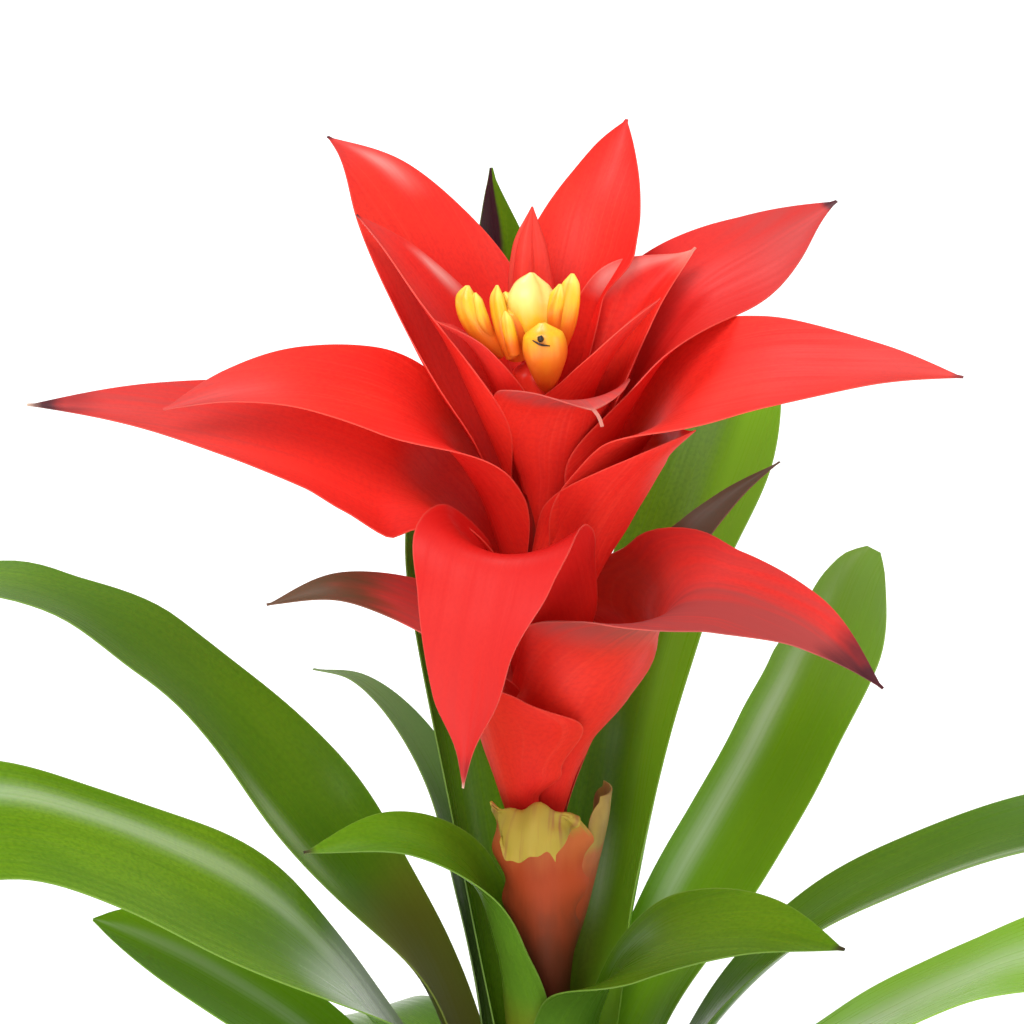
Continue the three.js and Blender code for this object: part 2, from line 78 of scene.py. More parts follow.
# The leaves leave the stock on a spiral. Step 0 is the innermost, and each step is lower and wider.
FOOT_RADIUS, FOOT_RADIUS_STEP = 6.5, 0.8
FOOT_HEIGHT, FOOT_HEIGHT_STEP = 48, -2.6
LEAVES = [
    {"name": "leaf_01", "turn": 205, "step": 0, "width": 22, "fade": 0.5, "round": [1.8, 1],
     "roll": [[0.2, 0], [0.5, -20]], "rib": [[8, 70], [11.5, 93], [18, 111], [33, 121.5], [54, 122.5]],
     "dark": [[0.95, 0], [1, 0.7]], "pale": [[0, 1], [0.2, 0.75], [0.42, 0]],
     "painted_shade": [[0.2, -0.2], [1, 0]]},
    {"name": "leaf_02", "turn": 318, "step": 2.2, "width": 26, "foot": 0.55, "fade": 0.5,
     "round": [1.8, 1], "roll": [[0.3, 0], [0.6, 30]],
     "rib": [[9.5, 64], [12.5, 79], [18.5, 89.5], [35, 103], [56, 112], [78, 115.5]],
     "dark": [[0.96, 0], [1, 0.8]], "pale": [[0, 0.7], [0.2, 0.4], [0.4, 0]],
     "painted_shade": [[0.2, 0.1], [0.5, 0.28], [1, 0.2]]},
    {"name": "leaf_03", "turn": 107, "step": 2, "width": 25, "fade": 0.66, "round": [2, 1],
     "left": [[0, 1], [0.6, 1], [0.85, 1.3], [1, 1]],
     "swing": [[0, 25], [0.6, 24], [0.84, 2], [0.92, -2], [1, 0]],
     "rib": [[11, 72], [22.5, 118], [35, 175], [39, 222], [39, 247]],
     "dark": [[0.6, 0], [0.78, 0.35], [0.88, 0.8], [1, 1]], "dark_half": 0.7},
    {"name": "leaf_04", "turn": 61, "step": 3, "width": 30, "foot": 0.55,
     "left": [[0, 1], [0.3, 0.8], [0.65, 0.8], [0.85, 1]],
     "cup": [[0.12, 0.1], [0.35, 0.3], [0.6, 0.2], [1, 0.2]],
     "keel": [[0.1, 0], [0.3, 0.25], [0.6, 0.12], [0.9, 0]],
     "rib": [[18, 66], [31, 97], [43, 130], [61, 155], [80, 175], [98, 195]],
     "pale": [[0, 0.7], [0.22, 0.45], [0.4, 0]], "painted_shade": [[0.2, -0.5], [1, -0.5]], "painted_shade_half": -1.2,
     "painted_highlight": [[0.24, 0], [0.31, 0.55], [0.4, 0]], "painted_highlight_at": [0.2, 0.12]},
    {"name": "leaf_05", "turn": 142, "step": 4.6, "width": 15, "foot": 0.8, "fade": 0.4, "round": [1.8, 1],
     "rib": [[13, 62], [20, 97], [28, 120], [39, 132], [50, 137], [62, 136]],
     "pale": [[0, 0.5], [0.3, 0]], "bloom_and_sheen": [[0.1, 0.4], [0.6, 0.9], [1, 1.2]]},
    {"name": "leaf_06", "turn": 37, "step": 5, "width": 24, "foot": 0.8, "fade": 0.84, "round": [2.4, 0.6],
     "tip": 2, "left": [[0.7, 1], [0.88, 1.15], [1, 1.1]],
     "right": [[0.7, 1], [0.8, 0.9], [0.88, 0.65], [0.95, 0.7], [1, 0.8]],
     "roll": [[0.25, 0], [0.5, 20], [0.85, 20], [1, 10]],
     "rib": [[21, 60], [39, 87], [51, 102], [62, 116], [72, 132], [78.5, 145], [83, 153.5], [86.5, 157.5]],
     "pale": [[0, 0.5], [0.25, 0]], "bloom_and_sheen": [[0.72, 0], [0.86, 0.6], [0.97, 1.2]],
     "painted_shade": [[0.2, -0.6], [1, -0.5]], "painted_highlight": [[0.25, 0], [0.45, 0.7], [0.7, 0.8], [0.95, 0.1]],
     "painted_highlight_at": [0.58, 0.17]},
    {"name": "leaf_07", "turn": 172, "step": 6, "width": 26,
     "right": [[0.4, 1], [0.55, 0.8], [0.75, 0.8], [1, 1]],
     "roll": [[0.2, 0], [0.4, -28], [0.58, -12], [0.68, 6], [1, 14]], "waves": [[0.5, 3, 1]],
     "rib": [[17, 58], [26, 84], [39, 103], [52.5, 121.5], [66.5, 137.5], [83, 152], [100, 161],
      [115, 164], [135, 158], [158, 140], [168, 128]],
     "pale": [[0, 1.3], [0.24, 0.8], [0.38, 0]], "bloom_and_sheen": [[0.6, 0], [0.9, 0.5]],
     "painted_shade": [[0.2, 0.35], [0.6, 0.5], [0.8, 0]], "painted_highlight": [[0.3, 0], [0.4, 0.35], [0.5, 0]],
     "painted_highlight_at": [0.75, 0.15]},
    {"name": "leaf_08", "turn": 350, "step": 7.5, "width": 24, "foot": 0.8, "roll": [[0.2, 0], [0.5, 5]],
     "rib": [[21, 48], [37, 79], [56, 101], [75, 114], [98, 125], [122, 130], [148, 124], [168, 106]],
     "pale": [[0, 0.7], [0.25, 0]], "painted_shade": [[0.2, 0.6], [1, 0.4]],
     "painted_highlight": [[0.25, 0], [0.5, 0.5], [1, 0.5]], "painted_highlight_at": [-0.88, 0.1]},
    {"name": "leaf_09", "turn": 208, "step": 9, "width": 29,
     "left": [[0, 1], [0.2, 1.6], [0.35, 1.3], [0.6, 1]],
     "right": [[0, 1], [0.3, 1.4], [0.5, 1.3], [0.7, 1]], "roll": [[0.2, 0], [0.5, -30]],
     "waves": [[0.5, 3, 0]],
     "rib": [[24, 54], [41, 84], [59, 104], [78, 120], [100, 135], [122, 144.5], [146, 145], [168, 133],
      [184, 114]],
     "pale": [[0, 1], [0.14, 0.6], [0.26, 0]], "painted_highlight": [[0.12, 0], [0.4, 0.55], [0.8, 0.6], [1, 0.3]],
     "painted_highlight_at": [-0.55, 0.13]},
    {"name": "leaf_10", "turn": 314, "step": 10, "width": 28, "roll": [[0.2, 0], [0.5, 20]],
     "rib": [[26, 50], [44, 70], [66, 85.5], [85, 101], [108, 119], [130, 134], [152, 142], [174, 140],
      [192, 125]],
     "pale": [[0, 0.7], [0.25, 0]], "painted_shade": [[0.2, -0.9], [1, -0.9]],
     "painted_highlight": [[0.2, 0], [0.4, 0.6], [0.9, 0.4]], "painted_highlight_at": [0.1, 0.4]},
    {"name": "leaf_11", "turn": 192, "step": 12, "width": 24, "roll": [[0.2, 0], [0.5, -25]],
     "rib": [[30, 46], [50, 73], [70, 90], [83, 99], [94, 106]],
     "pale": [[0, 0.7], [0.3, 0]], "painted_shade": [[0.2, -0.6], [1, -0.6]],
     "painted_highlight": [[0.3, 0], [0.5, 0.5], [1, 0.4]], "painted_highlight_at": [-0.2, 0.15]},
    {"name": "leaf_12", "turn": 82, "step": 11, "width": 24,
     "rib": [[30, 38], [55, 47], [84, 42], [112, 20], [122, 0.3]]},
    {"name": "leaf_13", "turn": 118, "step": 13, "width": 24,
     "rib": [[31, 34], [55, 43], [82, 38], [108, 16], [116, 0.3]]},
    {"name": "leaf_14", "turn": 12, "step": 14, "width": 25,
     "rib": [[32, 34], [60, 48], [92, 46], [122, 26], [136, 0.3]]},
    {"name": "leaf_15", "turn": 290, "step": 15, "width": 25,
     "rib": [[33, 32], [60, 47], [90, 44], [116, 23], [127, 0.3]]},
    {"name": "leaf_16", "turn": 235, "step": 16, "width": 25,
     "rib": [[34, 30], [60, 44], [88, 42], [114, 22], [126, 0.3]]},
    {"name": "leaf_17", "turn": 155, "step": 16, "width": 24,
     "rib": [[33, 30], [58, 43], [88, 42], [118, 24], [132, 0.3]]},
    {"name": "leaf_18", "turn": 268, "step": 17.3, "width": 24,
     "rib": [[34, 26], [58, 36], [84, 32], [104, 14], [112, 0.3]]},
]

# A bract's foot clasps the stem at this radius and at the height "foot_up".
BRACT_FOOT = 5
BRACTS = [
    {"name": "scape_bract_front", "turn": 257, "foot_up": 80, "width": 27, "full": 0.7, "fade": 0.8,
     "round": [2, 0.5], "tip": 7, "left": [[0, 1], [0.6, 1], [0.8, 0.66], [1, 0.9]],
     "right": [[0, 1], [0.6, 1], [0.8, 0.7], [1, 0.9]],
     "cup": [[0, 0], [0.76, 0], [0.87, -0.35], [1, -0.15]], "waves": [[0.9, 5, 0]], "ragged": 1,
     "crimp": 0.9,
     "rib": [[6.6, 90], [9, 105], [11, 117], [12.5, 124.5], [15, 128.5], [18.5, 126], [20.5, 120]],
     "dark": [[0, 1], [0.3, 0.5], [0.5, 0]]},
    {"name": "scape_bract_side", "turn": 354, "foot_up": 88, "width": 15, "foot": 0.9, "full": 0.5,
     "fade": 0.8, "round": [3, 0.6], "tip": 4.5,
     "rib": [[7.8, 98], [10.4, 110], [12.2, 119], [13.2, 126.5]],
     "dark": [[0.2, 0], [0.7, 0.5]], "pale": [[0.45, 0], [0.8, 0.15]]},
    {"name": "bract_04", "turn": 38, "foot_up": 110, "width": 21, "foot": 0.35,
     "left": [[0, 0.6], [0.4, 0.8], [0.65, 1.3], [1, 1]], "right": [[0, 0.6]],
     "swing": [[0, 45], [0.5, 22], [0.75, 0]],
     "rib": [[8.6, 118], [16.3, 140], [26.3, 157], [34.4, 171.5], [46, 178], [61, 183]],
     "dark": [[0.36, 0], [0.55, 0.7], [1, 1.2]]},
    {"name": "bract_01", "turn": 238, "foot_up": 114.5, "width": 28, "foot": 0.75,
     "right": [[0, 0.25], [0.24, 0.3], [0.36, 0.75], [0.6, 1.6], [0.74, 1.05]],
     "rib": [[8.6, 122], [13, 134], [18, 146], [25, 156], [33, 160], [38, 158.5]]},
    {"name": "bract_02", "turn": 334, "foot_up": 120, "width": 32, "foot": 0.62,
     "left": [[0, 0.8], [0.16, 1.4], [0.3, 1.9], [0.46, 2.1], [0.58, 2.1], [0.7, 1.5], [0.85, 1.35],
      [1, 1]], "right": [[0, 0.2], [0.2, 0.5], [0.3, 1.2], [0.4, 2.8], [0.44, 2.7], [0.52, 2], [0.65, 1]],
     "cup": [[0, 0], [0.15, 0.1], [0.35, 0.33], [0.5, 0.28], [0.7, 0.12], [1, 0.3]],
     "lift": [[0.35, 0, 0], [0.5, 6, 0], [0.68, 0, 0]],
     "roll": [[0.1, 0], [0.35, -11], [0.56, 13], [1, 20]],
     "swing": [[0, -55], [0.08, -52], [0.33, -18], [0.45, 0]],
     "rib": [[8.4, 128], [11.8, 139.5], [18, 152], [22.7, 163.5], [33, 176], [55, 174], [73, 162.5]],
     "dark": [[0.8, 0], [0.93, 0.7], [1, 1.2]], "bloom_and_sheen": [[0.4, 0], [0.54, 0.9], [0.85, 1.1]],
     "bloom_and_sheen_half": -0.5},
    {"name": "bract_03", "turn": 190, "foot_up": 128, "width": 22, "foot": 0.8,
     "roll": [[0.3, 0], [0.5, -20], [1, -15]],
     "rib": [[7, 135], [10, 146], [16, 158.5], [27, 167.5], [42, 173], [57, 171]],
     "dark": [[0.55, 0], [0.8, 0.8], [1, 1.4]], "bloom_and_sheen": [[0.36, 0], [0.6, 1]]},
    {"name": "bract_05", "turn": 252, "foot_up": 143, "width": 40, "foot": 0.4,
     "left": [[0, 0.9], [0.2, 0.7], [0.36, 0.7], [0.5, 1], [0.84, 1], [0.95, 0.5]],
     "right": [[0.5, 1], [0.62, 0.85], [0.75, 0.7], [0.84, 0.8], [0.95, 0.5]],
     "lift": [[0.24, 0, 0], [0.38, 5, 4.5], [0.5, 5, 4.5], [0.66, 0, 0]],
     "rib": [[8.4, 156], [14.7, 172], [25.4, 186.2], [33.8, 190.2], [42, 182], [49, 168], [54, 150]],
     "dark": [[0.9, 0], [0.97, 0.5]], "pale": [[0.985, 0], [1, 0.9]], "bloom_and_sheen": [[0.6, 0], [1, 0.3]],
     "painted_shade": [[0.2, 0.3], [0.4, 0.7]]},
    {"name": "bract_06", "turn": 186, "foot_up": 150.5, "width": 37, "foot": 0.45, "full": 0.33,
     "left": [[0, 1], [0.26, 1], [0.36, 1.25], [0.45, 1]],
     "right": [[0, 1], [0.18, 0.55], [0.34, 0.6], [0.41, 1], [0.46, 1.2], [0.52, 1.1], [0.58, 1]],
     "roll": [[0.35, 0], [0.45, -27], [1, -15]],
     "rib": [[8, 163], [15, 180], [26, 191.5], [40, 200], [59, 207], [77, 211], [103, 214]],
     "dark": [[0.84, 0], [0.94, 0.5], [0.985, 1.1]], "pale": [[0.985, 0], [0.995, 0.9]],
     "bloom_and_sheen": [[0.5, 0], [0.85, 0.7]]},
    {"name": "bract_07", "turn": 322, "foot_up": 156.5, "width": 34, "foot": 0.38, "full": 0.45,
     "fade": 0.5, "right": [[0, 1], [0.2, 1.6], [0.48, 2.2], [0.7, 2.1], [0.8, 1.6], [0.95, 1]],
     "cup": [[0, 0], [0.2, 0.03], [0.5, 0.22], [0.8, 0.2], [1, 0.3]],
     "lift": [[0.4, 0, 0], [0.56, 0, 3.5], [0.8, 0, 2.5], [1, 0, 0]],
     "roll": [[0.2, 0], [0.48, -12], [1, 0]], "rib": [[8.2, 169], [15, 186], [25, 202], [36, 213]],
     "bloom_and_sheen": [[0.85, 0], [1, 0.4]]},
    {"name": "bract_08", "turn": 192, "foot_up": 166, "width": 32, "foot": 0.3,
     "roll": [[0.35, 0], [0.6, -25], [1, -20]],
     "rib": [[8.3, 175], [15, 194.5], [27, 209.5], [48, 218], [63, 218], [77, 215]],
     "bloom_and_sheen": [[0.75, 0], [0.95, 0.8]]},
    {"name": "bract_09", "turn": 342, "foot_up": 167, "width": 37, "foot": 0.3, "full": 0.55, "fade": 0.42,
     "left": [[0, 1.6], [0.2, 1.6], [0.4, 1.1], [0.6, 1]], "right": [[0, 1], [0.25, 1.15], [0.45, 1]],
     "roll": [[0.35, 0], [0.6, 24], [1, 12]],
     "rib": [[8.5, 178], [17, 199], [29, 215], [43, 221.5], [65, 224.5], [84, 225.5]],
     "dark": [[0.95, 0], [1, 0.8]], "bloom_and_sheen": [[0.72, 0], [0.9, 0.5]]},
    {"name": "bract_10", "turn": 28, "foot_up": 173, "width": 40, "foot": 0.25, "full": 0.55, "fade": 0.42,
     "left": [[0, 2.4], [0.25, 1.8], [0.5, 1.05], [0.85, 1.4], [1, 1]], "roll": [[0.5, 0], [0.8, 18]],
     "rib": [[9, 187.5], [17, 210], [31, 227], [50, 235.5], [66, 242]],
     "dark": [[0.95, 0], [0.99, 1]], "bloom_and_sheen": [[0.68, 0], [0.9, 0.7]], "painted_shade": [[0.3, 0], [0.5, 0.6]]},
    {"name": "bract_12", "turn": 132, "foot_up": 177, "width": 36, "foot": 0.2, "full": 0.55, "fade": 0.42,
     "right": [[0, 1], [0.3, 1.6], [0.75, 1.5], [1, 1]],
     "rib": [[10, 190], [15.6, 202], [23, 213.5], [34.5, 231.5], [50, 244.5], [67, 249.5]],
     "dark": [[0.97, 0], [1, 0.9]], "bloom_and_sheen": [[0.85, 0], [1, 0.5]],
     "painted_highlight": [[0.74, 0], [0.87, 0.5], [0.97, 0]], "painted_highlight_at": [-0.5, 0.25]},
    {"name": "bract_11", "turn": 162, "foot_up": 183, "width": 27, "foot": 0.3, "full": 0.45, "fade": 0.45,
     "left": [[0, 0.6], [0.4, 0.8], [0.6, 1]], "right": [[0, 0.7], [0.4, 1.35], [0.8, 1.35], [1, 1]],
     "rib": [[9.2, 197], [14.4, 210], [21.4, 225], [30, 236.5], [40, 245.5]],
     "dark": [[0.97, 0], [1, 0.8]], "bloom_and_sheen": [[0.8, 0], [1, 0.6]], "painted_highlight": [[0.6, 0], [0.74, 1], [0.87, 0]],
     "painted_highlight_at": [-0.82, 0.14]},
    {"name": "bract_13", "turn": 30, "foot_up": 178, "width": 22, "foot": 0.3, "full": 0.5, "fade": 0.5,
     "left": [[0, 2], [0.25, 1.8], [0.5, 1]], "right": [[0, 1], [0.4, 1.4], [0.75, 1.4], [1, 1]],
     "lift": [[0.22, 0, 0], [0.46, 0, 10], [0.76, 0, 9], [1, 0, 0]],
     "rib": [[9, 192], [15, 211.5], [22.5, 226.5], [34, 237]],
     "pale": [[0.88, 0], [1, 0.4]], "bloom_and_sheen": [[0.85, 0], [1, 0.5]],
     "painted_highlight": [[0.72, 0], [0.8, 1], [0.9, 0.5], [1, 0]], "painted_highlight_at": [0.85, 0.14]},
    {"name": "bract_14", "turn": 70, "foot_up": 186, "width": 37, "foot": 0.15, "full": 0.66, "fade": 0.42,
     "left": [[0, 0.3], [0.5, 0.45], [0.64, 0.95], [0.72, 1]],
     "right": [[0, 1], [0.5, 0.9], [0.8, 0.8], [1, 1]],
     "rib": [[9, 200], [16.5, 225], [26, 241], [38, 249.5], [47, 255]],
     "dark": [[0.97, 0], [1, 0.5]]},
    {"name": "bract_15", "turn": 288, "foot_up": 183, "width": 27, "foot": 0.3, "full": 0.6, "fade": 0.7,
     "end": 0.92, "round": [2.2, 0.8], "left": [[0, 1], [0.25, 1.1], [0.5, 1.5], [0.75, 1.3], [0.9, 1]],
     "right": [[0.7, 1], [0.84, 1.1], [0.9, 1.2], [1, 1]], "swing": [[0.86, 0], [1, 2.2]],
     "rib": [[7.8, 195], [12.2, 207], [17, 215.5], [23, 219], [28, 217.8], [29.6, 216]],
     "pale": [[0.9, 0], [0.94, 0.35]], "bloom_and_sheen": [[0.68, 0], [0.8, 1]]},
    {"name": "bract_16", "turn": 338, "foot_up": 190, "width": 22, "foot": 0.25, "full": 0.5, "fade": 0.5,
     "left": [[0, 1.4], [0.4, 1.3], [0.6, 1]],
     "rib": [[6.4, 201], [9.3, 213.5], [15, 224.5], [23.5, 235.5]],
     "bloom_and_sheen": [[0.6, 0], [1, 0.5]]},
    {"name": "bract_17", "turn": 206, "foot_up": 192, "width": 17, "foot": 0.33, "full": 0.5, "fade": 0.5,
     "rib": [[7.9, 203], [11.5, 215], [17, 225.5], [24.5, 231.5]],
     "bloom_and_sheen": [[0.6, 0], [1, 0.5]]},
]

# A bud or pod has stations [x, y, z, radius] from its foot up. Folds run along it, so many, so deep and
# turned so far; crease says how dark the shade painted in their valleys is, and flat presses it together.
# A flower's tone goes from cream (below 0) over yellow (0), orange and red (above 1) to nearly black (3).
# On the closed bract, tone is how pale it is.
POD_FORM = {"folds": 3, "depth": 0.16, "turn": 0, "crease": 1, "flat": 1, "tone": 0}
CLOSED_BRACT = {
    "line": [[-0.5, 5.6, 207.5, 1.2], [-1.5, 6.6, 216, 3.2], [-3.3, 8.2, 230, 5], [-3.6, 8.6, 240, 3.8],
             [-3.2, 8.6, 248.5, 0.2]],
    "folds": 4, "depth": 0.4, "turn": 30, "crease": 0, "tone": 0.04,
}
FLOWERS = [
    {"line": [[-2, -2, 206.4, 1.5], [-2.5, -3, 212, 5], [-2.5, -3, 218, 4.6], [-2.5, -3, 221, 0.6]],
     "tone": 1.8},
    {"line": [[-6, -3, 221, 2], [-6.8, -3.5, 227, 3.3], [-7.4, -3, 231, 2.8], [-7.4, -3, 232.6, 0.5]],
     "tone": 0.7},
    {"line": [[-9.1, -4, 222.2, 1.3], [-12.1, -5, 225.7, 2.3], [-15.1, -6, 231, 2.6],
      [-16.1, -6, 234.7, 2.2], [-15.9, -6, 237.1, 0.5]], "tone": 0.5, "depth": 0.1},
    {"line": [[-11.7, -6, 226.7, 1.1], [-13.3, -7, 230.8, 1.6], [-14.1, -7, 234.3, 1.3],
      [-14.4, -7, 236, 0.3]]},
    {"line": [[-7.1, -6, 222.4, 1.4], [-8.5, -6, 226.7, 1.7], [-9.5, -5, 230.6, 1.8],
      [-10.1, -4, 233.9, 1.5], [-10.1, -4, 236.5, 0.3]], "tone": 0.2},
    {"line": [[-6.7, -7.5, 223.7, 1.3], [-7.5, -8, 227.5, 1.4], [-8.1, -8, 230.7, 1.2],
      [-8.5, -8, 232.5, 0.3]]},
    {"line": [[-6.1, -2, 230.1, 1.6], [-7.7, -2.5, 232.8, 1.7], [-8.7, -2.5, 234.5, 0.4]]},
    {"line": [[-2.5, -2, 222.9, 3], [-3.1, -3, 228.7, 4.6], [-3.5, -2.5, 232.8, 5.2],
      [-3.5, -1.5, 235.9, 3.6], [-3.3, -1, 238.1, 0.5]], "tone": -0.7, "flat": 0.75, "depth": 0.12,
     "turn": 60},
    {"line": [[0.9, -3, 223.6, 1.6], [1.1, -4.5, 231.4, 1.9], [1.9, -4, 234.5, 1.6],
      [2.3, -4, 236.7, 0.4]], "tone": 0.2},
    {"line": [[1.9, -3, 223.4, 1.8], [3.1, -4, 228.7, 2.4], [3.9, -4, 233.4, 2.5],
      [4.5, -3.5, 236.7, 1.8], [4.7, -3, 238.6, 0.4]], "flat": 0.6, "tone": 0.1},
    {"line": [[-0.3, -6, 215.9, 1.6], [-0.5, -8.5, 220.6, 3.2], [-0.7, -9.5, 224.9, 4.4],
      [-1.1, -9.5, 228.3, 3.9], [-1.3, -9, 230.5, 0.7]], "tone": 0.9, "folds": 2, "depth": 0.1},
    {"line": [[-2.2, -13.5, 229.2, 0.15], [-1.6, -13.9, 229, 0.75], [-1, -13.6, 228.9, 0.15]], "tone": 4},
    {"line": [[-3.2, -12.9, 228.3, 0.1], [-1.6, -13.7, 227.7, 0.22], [0.2, -13.6, 227.4, 0.1]], "tone": 4},
]

# The turned stock and stem, as [radius, height]: a rounded cut foot, the cone that the leaves clasp, the
# neck, and a stem with slight rings up to its rounded top.
CONE_RADIUS, CONE_TAPER, CONE_FOOT, CONE_HEIGHT, CONE_STEPS = 19.2, 13.9, 2, 46, 23
STEM_RADIUS, RING_DEPTH, STEM_FOOT, STEM_HEIGHT, STEM_STEPS = 4.2, 0.15, 58, 146, 30
STOCK = [[17.2, 0], [18.6, 0.4], [CONE_RADIUS, CONE_FOOT]]
STOCK += [[CONE_RADIUS - CONE_TAPER * i / CONE_STEPS, CONE_FOOT + CONE_HEIGHT * i / CONE_STEPS]
          for i in range(1, CONE_STEPS + 1)]
STOCK += [[5, 52], [STEM_RADIUS, STEM_FOOT]]
STOCK += [[STEM_RADIUS - RING_DEPTH * (i % 2), STEM_FOOT + STEM_HEIGHT * i / STEM_STEPS]
          for i in range(1, STEM_STEPS + 1)]
STOCK += [[3.6, 205.4], [2.4, 206]]

# Thickness of a blade along its middle and at its margins, and the least radius that it is bent round.
LEAF_THICK, BRACT_THICK, SHEATH_THICK = (0.7, 0.3), (0.6, 0.25), (0.6, 0.28)
MIN_REACH = 3
# Steps along and round each mesh. Those of a blade bunch up towards its point, which is drawn finely.
BLADE_STEPS, BLADE_ACROSS, BLADE_BUNCHING = 84, 20, 0.12
POD_STEPS, POD_SIDES = 44, 48
STEM_SIDES = 64
# The least radius of a pod, and how uneven the stem's girth is.
POD_POINT = 0.12
STEM_UNEVEN = 0.008
# Steps in which a curve's length is measured, and the shift in t that gives its direction.
CURVE_STEPS, BLADE_SHIFT, POD_SHIFT = 800, 1e-4, 1e-3
# The noise of each blade and bud is set apart by a count, which starts at these numbers, times a distance.
LEAF_COUNT, BRACT_COUNT, FLOWER_COUNT = 1, 41, 5
BLADE_APART, BUD_APART = 17.0, 9.0
# Noise coordinates per radian round a bud and for its whole length, and per radian round the stem.
POD_GRAIN_ROUND, POD_GRAIN_ALONG, STEM_GRAIN_ROUND = 3, 25, 6


def ramp(x, a, b):
    """Smooth step from 0 at a to 1 at b."""
    u = np.clip((np.asarray(x, float) - a) / (b - a), 0, 1)
    return u * u * (3 - 2 * u)


def keyed(keys, s, column=1):
    """Value at s of a list of keys, smooth between them."""
    s = np.asarray(s, float)
    out = np.full(s.shape, float(keys[0][column]))
    for a, b in zip(keys, keys[1:]):
        out = np.where(s > a[0], a[column] + (b[column] - a[column]) * ramp(s, a[0], b[0]), out)
    return out


def curve(points, t):
    """Centripetal Catmull-Rom curve through the points, at t from 0 to 1."""
    p = np.asarray(points, float)
    last = len(p) - 1
    q = np.vstack([2 * p[0] - p[1], p, 2 * p[-1] - p[-2]])
    x = np.clip(np.asarray(t, float), 0, 1) * last
    k = np.minimum(x.astype(int), last - 1)
    w = (x - k)[:, None]
    a, b, c, d = q[k], q[k + 1], q[k + 2], q[k + 3]
    ab, bc, cd = (np.maximum(np.linalg.norm(v - u, axis=1), 1e-6)[:, None] ** 0.5
                  for u, v in ((a, b), (b, c), (c, d)))
    m1 = ((b - a) / ab - (c - a) / (ab + bc) + (c - b) / bc) * bc
    m2 = ((c - b) / bc - (d - b) / (bc + cd) + (d - c) / cd) * bc
    return b + m1 * w + (3 * c - 3 * b - 2 * m1 - m2) * w**2 + (2 * b - 2 * c + m1 + m2) * w**3


def even_curve(points, s):
    """Points and directions at even steps s of the curve's length, and the length."""
    t = np.linspace(0, 1, CURVE_STEPS + 1)
    run = np.concatenate([[0], np.cumsum(np.linalg.norm(np.diff(curve(points, t), axis=0), axis=1))])
    at = np.interp(np.asarray(s) * run[-1], run, t)
    along = curve(points, at + BLADE_SHIFT) - curve(points, at - BLADE_SHIFT)
    return curve(points, at), along / np.linalg.norm(along, axis=1)[:, None], run[-1]


def half_width(f, s):
    """Half width of the blade f at s, before one half is stretched."""
    share = f["foot"] + (1 - f["foot"]) * ramp(s, 0, f["full"])
    u = np.clip((s - f["fade"]) / (f["end"] - f["fade"]), 0, 1)
    share = share * np.maximum(0, 1 - u ** f["round"][0]) ** f["round"][1]
    return np.maximum(f["tip"], f["width"] / 2 * share)


def surface(f):
    """Mid surface of a blade: points, unit normals of its upper face, s and t, half widths and length."""
    s = np.linspace(0, 1, BLADE_STEPS + 1)
    s = s + BLADE_BUNCHING * np.sin(np.pi * s) * s * (1 - s)
    centre, along, length = even_curve(f["rib"], s)
    half = half_width(f, s)
    t = np.linspace(-1, 1, BLADE_ACROSS + 1)
    S, T = np.meshgrid(s, t, indexing="ij")
    H = half[:, None]

    def at(key, column=1):
        return keyed(f[key], s, column)[:, None]

    roll = np.radians(at("roll"))
    reach = T * H * np.where(T < 0, at("left"), at("right"))
    rise = reach * np.sin(roll) + (at("cup") * H + np.where(T < 0, at("lift", 1), at("lift", 2))) * T * T
    rise = rise + at("keel") * H * (np.sqrt(T * T + 0.004) - 0.3)
    for size, count, phase in f["waves"]:
        wave = size * np.sin(2 * np.pi * count * S + phase) * np.where(T < 0, 1.0, -0.6)
        rise = rise + wave * np.abs(T) ** 2.5 * ramp(S, 0.2, 0.4)
    aside = reach * np.cos(roll)
    heading = np.radians(f["turn"] + at("swing")) + aside / np.maximum(centre[:, :1], MIN_REACH)

    def upright(out, up):
        up = np.broadcast_to(up, heading.shape)
        return np.stack([out * np.cos(heading), out * np.sin(heading), up], -1)

    face = upright(-along[:, 1:], along[:, :1])
    P = upright(centre[:, :1], centre[:, 1:]) + face * rise[..., None]
    tear = f["ragged"] * ramp(S, 0.84, 1) * (np.cos(3.4 * T + 0.6) + 0.6 * np.sin(7 * T))
    P = P + upright(along[:, :1], along[:, 1:]) * tear[..., None]
    P[..., 2] += f["crimp"] * ramp(S, 0.6, 0.78) * (np.sin(4.5 * T + 0.5) + 0.6 * np.sin(10 * T))
    normal = np.cross(np.gradient(P, axis=0), np.gradient(P, axis=1))
    normal /= np.maximum(np.linalg.norm(normal, axis=2), 1e-9)[..., None]
    normal *= np.where((normal * face).sum(2) < 0, -1, 1)[..., None]
    return P, normal, S, T, half, length


def add_mesh(name, points, faces, values, sharp=()):
    """A smooth mesh on the plant's body, with its values as point attributes and the given edges sharp."""
    mesh = bpy.data.meshes.new(name)
    mesh.from_pydata((np.asarray(points) * MM).tolist(), [], faces)
    mesh.polygons.foreach_set("use_smooth", np.ones(len(mesh.polygons), bool))
    for key, data in values.items():
        data = np.asarray(data, float)
        vector = data.ndim == 2
        made = mesh.attributes.new(key, "FLOAT_VECTOR" if vector else "FLOAT", "POINT")
        made.data.foreach_set("vector" if vector else "value", data.ravel())
    if sharp:
        ends = np.empty(len(mesh.edges) * 2, int)
        mesh.edges.foreach_get("vertices", ends)
        wanted = {tuple(sorted(pair)) for pair in sharp}
        flags = np.array([tuple(pair) in wanted for pair in np.sort(ends.reshape(-1, 2), axis=1).tolist()])
        made = mesh.attributes.new("sharp_edge", "BOOLEAN", "EDGE")
        made.data.foreach_set("value", flags)
    mesh.validate()
    mesh.update()
    piece = bpy.data.objects.new(name, mesh)
    bpy.context.scene.collection.objects.link(piece)
    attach(piece, "root")
    return piece


